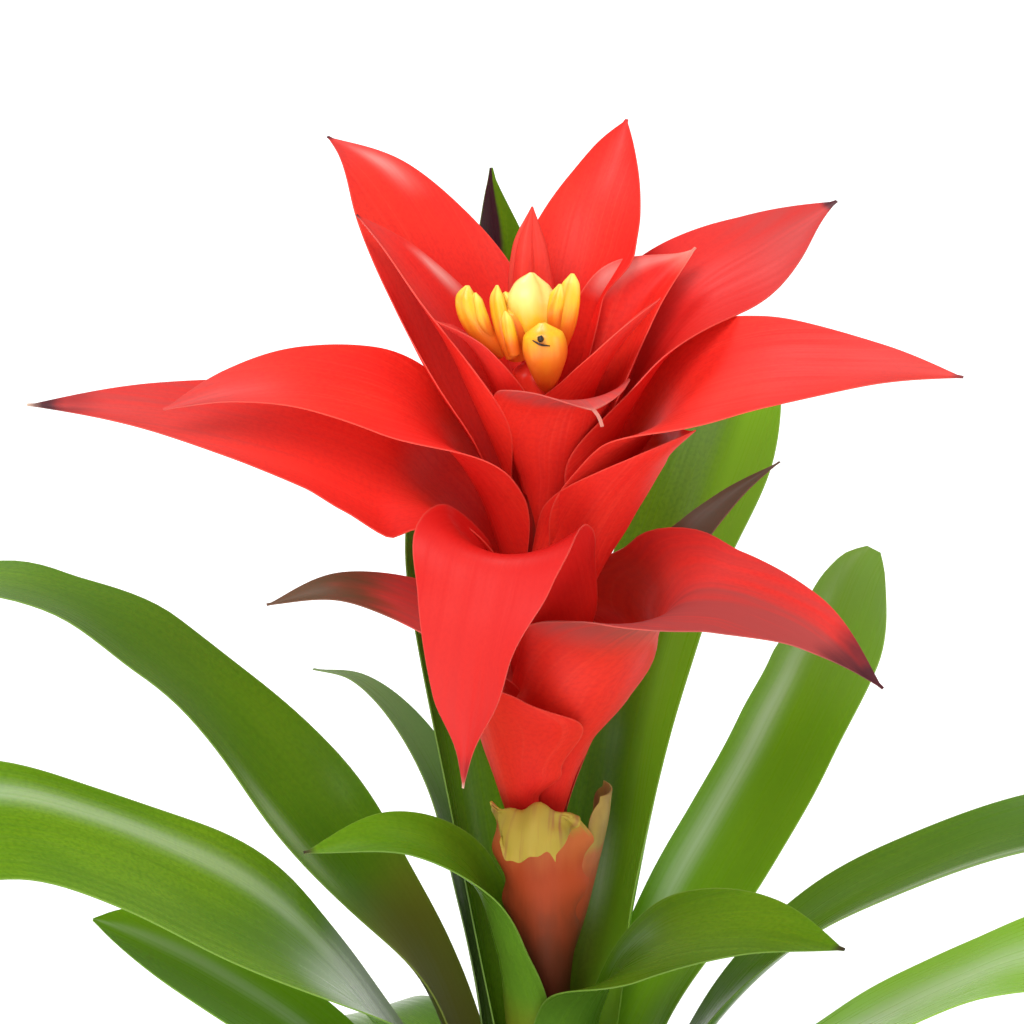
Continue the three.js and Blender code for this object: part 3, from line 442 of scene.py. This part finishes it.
def blade(name, f, count, thick):
    """A closed blade round its mid surface, thinner at the margins and towards the point."""
    P, normal, S, T, half, length = surface(f)
    middle, margin = thick
    depth = (margin + (middle - margin) * (1 - np.abs(T) ** 4)) * (1 - 0.5 * ramp(S, 0.85, 1))
    top = P + normal * depth[..., None] / 2
    low = P - normal * depth[..., None] / 2
    points = np.concatenate([top.reshape(-1, 3), low.reshape(-1, 3)])
    wide = BLADE_ACROSS + 1
    under = T.size
    faces = []
    for i in range(BLADE_STEPS):
        for j in range(BLADE_ACROSS):
            a, b, c, d = i * wide + j, (i + 1) * wide + j, (i + 1) * wide + j + 1, i * wide + j + 1
            faces.append((a, b, c, d))
            faces.append((a + under, d + under, c + under, b + under))
    rim = list(range(BLADE_ACROSS))
    rim += [i * wide + BLADE_ACROSS for i in range(BLADE_STEPS)]
    rim += [BLADE_STEPS * wide + j for j in range(BLADE_ACROSS, 0, -1)]
    rim += [i * wide for i in range(BLADE_STEPS, 0, -1)]
    sharp = []
    for a, b in zip(rim, rim[1:] + rim[:1]):
        faces.append((a, b, b + under, a + under))
        sharp += [(a, b), (a + under, b + under)]

    def both(v):
        return np.concatenate([v.ravel(), v.ravel()])

    def tint(key):
        favour = f.get(key + "_half", 0) * np.clip(T * 4, -1, 1)
        return both(keyed(f[key], S) * (1 + favour))

    # Where the painted highlight streak lies across the blade, and how wide it is.
    place, spread = f["painted_highlight_at"]
    grain = np.stack([T * half[:, None], S * length, np.full(S.shape, BLADE_APART * count)], -1)
    grain = grain.reshape(-1, 3)
    # The values carry the blade's own colours, and painted light as well: the dusky tint is partly a painted
    # sheen, the deeper or fresher tone is painted shade and light, and the streak across the blade is a painted
    # highlight.
    return add_mesh(name, points, faces, {
        "along": both(S), "side": both(T), "grain": np.concatenate([grain, grain]),
        "under": np.concatenate([np.zeros(under), np.ones(under)]),
        "dark": tint("dark"), "pale": tint("pale"), "bloom_and_sheen": tint("bloom_and_sheen"), "painted_shade": tint("painted_shade"),
        "painted_highlight": both(keyed(f["painted_highlight"], S) * np.exp(-((T - place) / spread) ** 2)),
    }, sharp)


def tube_faces(rings, sides, base=0):
    """Faces of a closed tube of rings of points, from the point number base on."""
    faces = []
    for i in range(rings - 1):
        row, above = base + i * sides, base + (i + 1) * sides
        for j in range(sides):
            k = (j + 1) % sides
            faces.append((row + j, row + k, above + k, above + j))
    last = base + (rings - 1) * sides
    faces.append([base + j for j in range(sides - 1, -1, -1)])
    faces.append([last + j for j in range(sides)])
    return faces


def pod(name, buds, start=0):
    """Closed, folded buds along curved spines, in one mesh."""
    points, faces = [], []
    along, side, grain, dark, tone = [], [], [], [], []
    # The steps bunch up towards both ends, so that the ends come out round.
    s = 0.5 - 0.5 * np.cos(np.pi * np.linspace(0, 1, POD_STEPS + 1))
    a = np.linspace(0, 2 * np.pi, POD_SIDES, endpoint=False)
    for count, bud in enumerate(buds, start):
        bud = {**POD_FORM, **bud}
        stations = np.asarray(bud["line"], float)
        spine = stations[:, :3]
        centre = curve(spine, s)
        radii = np.column_stack([np.arange(len(stations)), stations[:, 3]])
        girth = np.maximum(curve(radii, s)[:, 1], POD_POINT)
        way = curve(spine, s + POD_SHIFT) - curve(spine, s - POD_SHIFT)
        way /= np.linalg.norm(way, axis=1)[:, None]
        right = np.cross([0.0, -1.0, 0.0], way)
        right /= np.linalg.norm(right, axis=1)[:, None]
        front = np.cross(way, right)
        crease = np.abs(np.cos(bud["folds"] * (a + math.radians(bud["turn"])) / 2)) ** 0.7
        faces.extend(tube_faces(POD_STEPS + 1, POD_SIDES, len(points)))
        for i in range(POD_STEPS + 1):
            r = girth[i] * (1 - bud["depth"] * (1 - crease) * ramp(s[i], 0.15, 0.6))
            x, y = r * np.cos(a), r * np.sin(a) * bud["flat"]
            points.extend(centre[i] + right[i] * x[:, None] + front[i] * y[:, None])
            along.extend([s[i]] * POD_SIDES)
            side.extend(np.cos(a))
            # Painted shade in the valleys of the folds, as dark as the bud's crease says.
            dark.extend((1 - crease) * ramp(s[i], 0.1, 0.5) * bud["crease"])
            tone.extend([bud["tone"]] * POD_SIDES)
            grain.extend(np.column_stack([a * POD_GRAIN_ROUND, np.full(POD_SIDES, s[i] * POD_GRAIN_ALONG),
                                          np.full(POD_SIDES, BUD_APART * count)]))
    return add_mesh(name, points, faces,
                    {"along": along, "side": side, "grain": grain, "dark": dark, "pale": tone})


def turned(name, profile):
    """A turned profile with a slightly uneven girth."""
    a = np.linspace(0, 2 * np.pi, STEM_SIDES, endpoint=False)
    points, along, grain = [], [], []
    for r, z in profile:
        w = r * (1 + STEM_UNEVEN * np.sin(3 * a + z * 0.05))
        points.extend(np.column_stack([w * np.cos(a), w * np.sin(a), np.full(STEM_SIDES, z)]))
        along.extend([z / profile[-1][1]] * STEM_SIDES)
        grain.extend(np.column_stack([a * STEM_GRAIN_ROUND, np.full(STEM_SIDES, z), np.zeros(STEM_SIDES)]))
    return add_mesh(name, points, tube_faces(len(profile), STEM_SIDES), {"along": along, "grain": grain})


class Finish:
    """A procedural material on one Principled shader, painted in layers."""

    # Numbers of a mix node's colour sockets.
    MIX_A, MIX_B, MIX_RESULT = 6, 7, 2

    def __init__(self, name, **fixed):
        self.material = bpy.data.materials.new(name)
        self.material.use_nodes = True
        self.tree = self.material.node_tree
        self.shader = self.tree.nodes["Principled BSDF"]
        for key, value in fixed.items():
            self.shader.inputs[key.replace("_", " ")].default_value = value

    def node(self, kind, **settings):
        made = self.tree.nodes.new(kind)
        for key, value in settings.items():
            setattr(made, key, value)
        return made

    def plug(self, socket, value):
        if isinstance(value, bpy.types.NodeSocket):
            self.tree.links.new(value, socket)
        elif isinstance(value, tuple) and len(value) == 3 and socket.type == "RGBA":
            socket.default_value = (*value, 1)
        else:
            socket.default_value = value

    def read(self, name):
        made = self.node("ShaderNodeAttribute", attribute_name=name)
        return made.outputs["Vector"] if name == "grain" else made.outputs["Fac"]

    def math(self, how, a, b=0.0):
        made = self.node("ShaderNodeMath", operation=how)
        self.plug(made.inputs[0], a)
        self.plug(made.inputs[1], b)
        return made.outputs[0]

    def plus(self, a, b):
        return self.math("ADD", a, b)

    def times(self, a, b):
        return self.math("MULTIPLY", a, b)

    def stray(self, noise, size):
        """A noise about 0 of this size."""
        return self.times(self.math("SUBTRACT", noise, 0.5), size)

    def spread(self, value, a, b, low=0.0, high=1.0):
        """Smooth step from low at a to high at b."""
        made = self.node("ShaderNodeMapRange", interpolation_type="SMOOTHSTEP")
        for key, v in (("Value", value), ("From Min", a), ("From Max", b), ("To Min", low), ("To Max", high)):
            self.plug(made.inputs[key], v)
        return made.outputs[0]

    def noise(self, across, along, detail):
        """Noise with so many features to a millimetre across and along the blade."""
        scaled = self.node("ShaderNodeVectorMath", operation="MULTIPLY")
        self.plug(scaled.inputs[0], self.read("grain"))
        scaled.inputs[1].default_value = (across, along, 1)
        made = self.node("ShaderNodeTexNoise")
        self.plug(made.inputs["Vector"], scaled.outputs[0])
        self.plug(made.inputs["Scale"], 1.0)
        self.plug(made.inputs["Detail"], detail)
        return made.outputs["Fac"]

    def mix(self, share, a, b):
        """From a to b by a share, which is held between 0 and 1."""
        made = self.node("ShaderNodeMix", data_type="RGBA", clamp_factor=True)
        self.plug(made.inputs[0], share)
        self.plug(made.inputs[self.MIX_A], a)
        self.plug(made.inputs[self.MIX_B], b)
        return made.outputs[self.MIX_RESULT]

    def first(self, share, a, b):
        """The first colour, from a to b."""
        self.colour = self.mix(share, a, b)

    def layer(self, share, colour):
        """Paint a colour over what is there, by a share of it."""
        self.colour = self.mix(share, self.colour, colour)

    def patch(self, value, noise, size, start, full, onset):
        """Share of a patch that grows with the value, and whose border a noise of this size moves."""
        border = self.spread(self.plus(value, self.stray(noise, size)), start, full)
        return self.times(border, self.spread(value, 0.02, onset))

    def edge(self, start):
        """1 at both margins, fading to 0 at this share of the half width."""
        return self.spread(self.math("ABSOLUTE", self.read("side")), start, 1.0)

    def done(self, rough, bump, strength, distance):
        """Put the colour, the roughness and a bump so strong and so many metres high on the shader."""
        made = self.node("ShaderNodeBump")
        self.plug(made.inputs["Height"], bump)
        self.plug(made.inputs["Strength"], strength)
        self.plug(made.inputs["Distance"], distance)
        self.plug(self.shader.inputs["Normal"], made.outputs[0])
        self.plug(self.shader.inputs["Base Color"], self.colour)
        self.plug(self.shader.inputs["Roughness"], rough)
        return self.material


# Tints that the finishes paint over the base colour. The deep red and deep green shade tints are painted shade,
# the fresher green one is painted light, the pale streak tints are painted highlights, and the dusky bloom
# tints are partly a powdery bloom and partly a painted sheen.
BRACT_TINTS = {
    "vein": (0.95, 0.16, 0.1), "speckle": (0.58, 0.008, 0.012), "painted_shade": (0.55, 0.006, 0.006),
    "bloom_and_sheen": (0.42, 0.06, 0.055), "painted_highlight": (0.9, 0.45, 0.4), "margin": (0.9, 0.4, 0.28),
    "pale": (0.72, 0.5, 0.38),
}
LEAF_TINTS = {
    "vein": (0.2, 0.36, 0.05), "speckle": (0.055, 0.15, 0.004), "under": (0.1, 0.2, 0.04),
    "foot": (0.2, 0.16, 0.012), "dark": (0.04, 0.014, 0.02), "bloom_and_sheen": (0.19, 0.26, 0.12),
    "painted_light": (0.2, 0.42, 0.015), "painted_shade": (0.04, 0.1, 0.006), "painted_highlight": (0.5, 0.62, 0.4),
    "margin": (0.3, 0.42, 0.1),
}


def bract_finish(name, low, high, deep, tip):
    """Satin red tissue: soft blotches, fine lengthwise streaks, a fine speckle and a thin pale margin, with
    painted shade, a dusky tint that is partly a painted sheen, and a painted highlight streak.
    """
    f = Finish(name, Subsurface_Weight=0.08, Subsurface_Radius=(0.002, 0.0005, 0.0003), Subsurface_Scale=1.0,
               Specular_IOR_Level=0.2)
    blotch = f.noise(0.05, 0.03, 2)
    streak = f.noise(0.8, 0.02, 3)
    veins = f.noise(2.4, 0.012, 2)
    f.first(f.spread(blotch, 0.3, 0.7), low, high)
    f.layer(f.spread(streak, 0.45, 0.8, 0.0, 0.3), deep)
    f.layer(f.spread(veins, 0.5, 0.8, 0.0, 0.12), BRACT_TINTS["vein"])
    f.layer(f.spread(f.noise(1.6, 1, 3), 0.38, 0.7, 0.0, 0.3), BRACT_TINTS["speckle"])
    # Painted shade: a deeper red, as strong as the blade's shade value.
    f.layer(f.read("painted_shade"), BRACT_TINTS["painted_shade"])
    # A dusky grey-pink, partly a powdery bloom and partly a painted sheen.
    f.layer(f.times(f.read("bloom_and_sheen"), f.spread(streak, 0.25, 0.75, 0.45, 1.0)), BRACT_TINTS["bloom_and_sheen"])
    # A painted highlight: a pale streak along the blade.
    f.layer(f.times(f.read("painted_highlight"), f.spread(streak, 0.2, 0.8, 0.6, 0.9)), BRACT_TINTS["painted_highlight"])
    f.layer(f.patch(f.read("dark"), f.noise(0.35, 0.05, 3), 0.6, 0.2, 0.9, onset=0.2), tip)
    f.layer(f.times(f.edge(0.975), 0.1), BRACT_TINTS["margin"])
    f.layer(f.read("pale"), BRACT_TINTS["pale"])
    return f.done(f.spread(streak, 0.3, 0.8, 0.46, 0.6), f.plus(f.times(veins, 0.5), f.times(streak, 0.8)),
                  strength=0.12, distance=0.00015)


def leaf_finish(name, low, high, deep):
    """Smooth strap leaf: soft blotches, lengthwise streaks and a speckle, with painted shade and light, a
    greyish tint that is partly a painted sheen, and a painted highlight streak. "pale" is its dull olive foot.
    """
    f = Finish(name, Subsurface_Weight=0.05, Subsurface_Radius=(0.001, 0.002, 0.0004), Subsurface_Scale=1.0,
               Specular_IOR_Level=0.16)
    blotch = f.noise(0.06, 0.018, 3)
    streak = f.noise(1.0, 0.012, 3)
    veins = f.noise(3.0, 0.01, 2)
    f.first(f.spread(blotch, 0.3, 0.7), low, high)
    f.layer(f.spread(streak, 0.4, 0.75, 0.0, 0.35), deep)
    f.layer(f.spread(veins, 0.5, 0.8, 0.0, 0.14), LEAF_TINTS["vein"])
    f.layer(f.spread(f.noise(1.4, 1, 3), 0.38, 0.7, 0.0, 0.4), LEAF_TINTS["speckle"])
    f.layer(f.times(f.read("under"), 0.35), LEAF_TINTS["under"])
    foot = f.patch(f.read("pale"), blotch, 0.5, 0.15, 0.95, onset=0.25)
    f.layer(foot, LEAF_TINTS["foot"])
    f.layer(f.patch(f.read("dark"), f.noise(0.3, 0.06, 3), 0.4, 0.2, 0.8, onset=0.2), LEAF_TINTS["dark"])
    # A greyish tint, partly a powdery bloom and partly a painted sheen.
    f.layer(f.times(f.read("bloom_and_sheen"), 0.6), LEAF_TINTS["bloom_and_sheen"])
    # Painted light: a fresher green where the shade value is below 0.
    f.layer(f.times(f.read("painted_shade"), -1.0), LEAF_TINTS["painted_light"])
    # Painted shade: a deeper green where the shade value is above 0.
    f.layer(f.read("painted_shade"), LEAF_TINTS["painted_shade"])
    # A painted highlight: a pale streak along the leaf.
    f.layer(f.times(f.read("painted_highlight"), f.spread(streak, 0.2, 0.8, 0.7, 1.0)), LEAF_TINTS["painted_highlight"])
    f.layer(f.times(f.edge(0.97), 0.3), LEAF_TINTS["margin"])
    return f.done(f.plus(f.spread(streak, 0.3, 0.8, 0.25, 0.36), f.times(foot, 0.4)),
                  f.plus(f.times(veins, 0.6), f.times(streak, 0.8)), strength=0.12, distance=0.00015)


def sheath_finish():
    """Lower bracts of the stem: a brown foot, orange-red above, and a yellow-green lip with brown creases."""
    brown, red, orange = (0.16, 0.03, 0.012), (0.5, 0.07, 0.02), (0.6, 0.14, 0.04)
    lip, crease, dark, pale = (0.42, 0.3, 0.04), (0.34, 0.15, 0.045), (0.13, 0.035, 0.014), (0.55, 0.33, 0.2)
    f = Finish("sheath_orange", Subsurface_Weight=0.08, Subsurface_Radius=(0.003, 0.001, 0.0004),
               Subsurface_Scale=1.0, Specular_IOR_Level=0.25)
    streak = f.noise(0.5, 0.05, 4)
    rise = f.plus(f.read("along"), f.stray(streak, 0.12))
    f.first(f.spread(rise, 0.1, 0.5), brown, red)
    f.layer(f.spread(rise, 0.5, 0.66), orange)
    f.layer(f.spread(rise, 0.66, 0.74), lip)
    f.layer(f.times(f.spread(streak, 0.5, 0.72), f.spread(rise, 0.66, 0.8)), crease)
    f.layer(f.times(f.read("dark"), f.spread(f.noise(0.3, 0.12, 3), 0.3, 0.7, 0.3, 1.0)), dark)
    f.layer(f.read("pale"), pale)
    return f.done(f.spread(streak, 0.3, 0.8, 0.5, 0.65), streak, strength=0.2, distance=0.0003)


def flower_finish():
    """Waxy buds, orange at the foot and yellow above, whose tone is in "pale", with shade painted in the
    valleys of their folds.
    """
    orange, gold, yellow, cream = (0.85, 0.17, 0.015), (0.9, 0.5, 0.02), (0.92, 0.7, 0.12), (0.95, 0.8, 0.27)
    crease, red, black = (0.8, 0.27, 0.015), (0.75, 0.03, 0.014), (0.02, 0.008, 0.004)
    f = Finish("flower_yellow", Subsurface_Weight=0.2, Subsurface_Radius=(0.003, 0.0015, 0.0004),
               Subsurface_Scale=1.0, Specular_IOR_Level=0.4)
    tone = f.read("pale")
    streak = f.noise(0.6, 0.06, 3)
    rise = f.math("SUBTRACT", f.plus(f.read("along"), f.stray(streak, 0.3)), f.times(tone, 0.35))
    f.first(f.spread(rise, 0.15, 0.5), orange, gold)
    f.layer(f.spread(rise, 0.5, 0.92), f.mix(f.times(tone, -1.2), yellow, cream))
    # Painted shade: a deeper orange in the valleys of the folds.
    f.layer(f.times(f.read("dark"), 0.6), crease)
    f.layer(f.spread(tone, 1.0, 1.8), red)
    f.layer(f.spread(tone, 2.0, 3.0), black)
    return f.done(f.spread(streak, 0.3, 0.8, 0.3, 0.45), f.noise(1.2, 0.1, 3), strength=0.2, distance=0.0002)


def stem_finish():
    """Tan at the cut foot, olive on the stock and red up the stem, with dark streaks."""
    tan, olive, maroon = (0.3, 0.24, 0.12), (0.16, 0.14, 0.03), (0.3, 0.02, 0.012)
    red, streaked = (0.5, 0.02, 0.015), (0.09, 0.03, 0.01)
    f = Finish("stem_skin", Specular_IOR_Level=0.3)
    height = f.read("along")
    streak = f.noise(0.8, 0.04, 4)
    f.first(f.spread(height, 0.3, 0.52), olive, maroon)
    f.layer(f.spread(height, 0.5, 0.7), red)
    f.layer(f.spread(height, 0.0, 0.12, 1.0, 0.0), tan)
    f.layer(f.spread(streak, 0.4, 0.8, 0.0, 0.5), streaked)
    return f.done(f.spread(streak, 0.3, 0.8, 0.5, 0.7), streak, strength=0.3, distance=0.0004)


RED = bract_finish("bract_red", low=(0.78, 0.02, 0.013), high=(0.83, 0.031, 0.016), deep=(0.62, 0.009, 0.009),
                   tip=(0.07, 0.014, 0.02))
OLIVE = bract_finish("bract_olive", low=(0.7, 0.022, 0.014), high=(0.75, 0.03, 0.018), deep=(0.5, 0.01, 0.01),
                     tip=(0.095, 0.048, 0.018))
SHEATH = sheath_finish()
GREEN = leaf_finish("leaf_green", low=(0.09, 0.21, 0.005), high=(0.145, 0.29, 0.01), deep=(0.05, 0.13, 0.004))


def place(name, form, finish, slot, count, thick):
    """A blade with its finish, which stands in for the node of this name."""
    piece = blade(name + "_blade", form, count, thick)
    piece.data.materials.append(finish)
    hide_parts(name)


for count, leaf in enumerate(LEAVES, LEAF_COUNT):
    foot = [FOOT_RADIUS + FOOT_RADIUS_STEP * leaf["step"], FOOT_HEIGHT + FOOT_HEIGHT_STEP * leaf["step"]]
    place(leaf["name"], {**LEAF_FORM, **leaf, "rib": [foot, *leaf["rib"]]}, GREEN, "leaf", count, LEAF_THICK)

for count, bract in enumerate(BRACTS, BRACT_COUNT):
    name = bract["name"]
    form = {**BRACT_FORM, **bract, "rib": [[BRACT_FOOT, bract["foot_up"]], *bract["rib"]]}
    if name.startswith("scape"):
        place(name, form, SHEATH, "sheath", count, SHEATH_THICK)
    else:
        slot = "dark_bract" if name == "bract_04" else "bract"
        finish = OLIVE if name in ("bract_03", "bract_04") else RED
        place(name, form, finish, slot, count, BRACT_THICK)

closed = pod("closed_bract_bud", [CLOSED_BRACT])
closed.data.materials.append(RED)
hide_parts("closed_bract")

buds = pod("flower_buds", FLOWERS, FLOWER_COUNT)
buds.data.materials.append(flower_finish())
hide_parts("flowers")

stem = turned("stem_stock", STOCK)
stem.data.materials.append(stem_finish())
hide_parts("stem")

# Floor: a wide pale sheet just under the plant.
FLOOR_SIZE, FLOOR_DROP = 30, 0.0005
bpy.ops.mesh.primitive_plane_add(size=FLOOR_SIZE, location=(0, 0, -FLOOR_DROP))
floor = bpy.context.object
floor.name = "floor"
pale = Finish("floor_pale", Roughness=0.9, Specular_IOR_Level=0.1, Base_Color=(0.9, 0.9, 0.9, 1),
              Emission_Color=(1, 1, 1, 1), Emission_Strength=0.4)
floor.data.materials.append(pale.material)

# Camera: 22 degrees above the horizon, with a long lens that puts 0.2 mm of the stem's plane on each pixel of
# a frame 1024 pixels wide.
FRAME_PIXELS, PIXEL = 1024, 0.2 * MM
CAMERA_UP = math.radians(22)
CAMERA_AWAY = 1.1
SENSOR = 36
TARGET = Vector((-0.0072, 0, 0.187))
camera = bpy.data.objects.new("camera", bpy.data.cameras.new("camera"))
bpy.context.scene.collection.objects.link(camera)
camera.data.sensor_width = SENSOR
camera.data.lens = SENSOR * CAMERA_AWAY / (FRAME_PIXELS * PIXEL)
camera.location = TARGET + CAMERA_AWAY * Vector((0, -math.cos(CAMERA_UP), math.sin(CAMERA_UP)))
camera.rotation_euler = (math.radians(90) - CAMERA_UP, 0, 0)
bpy.context.scene.camera = camera

# Soft round lights: place, height on the axis that each is aimed at and size in metres, and power in watts.
LIGHTS = {
    "key": ((-0.6, -1.3, 2.1), 0.16, 1.4, 38),
    "front": ((-0.6, -2.6, 0.8), 0.16, 2.0, 20),
    "fill": ((1.9, -0.9, 0.9), 0.15, 1.4, 12),
    "top": ((-0.5, 1.0, 2.1), 0.16, 0.9, 22),
}
for name, (place, aim, size, power) in LIGHTS.items():
    light = bpy.data.lights.new(name, "AREA")
    light.shape = "DISK"
    light.size = size
    light.energy = power
    made = bpy.data.objects.new(name, light)
    made.location = place
    made.rotation_euler = (Vector((0, 0, aim)) - Vector(place)).to_track_quat("-Z", "Y").to_euler()
    bpy.context.scene.collection.objects.link(made)
world = bpy.data.worlds.new("world")
world.use_nodes = True
background = world.node_tree.nodes["Background"]
background.inputs["Color"].default_value = (1, 1, 1, 1)
background.inputs["Strength"].default_value = 0.38
bpy.context.scene.world = world
bpy.context.scene.view_settings.view_transform = "Standard"
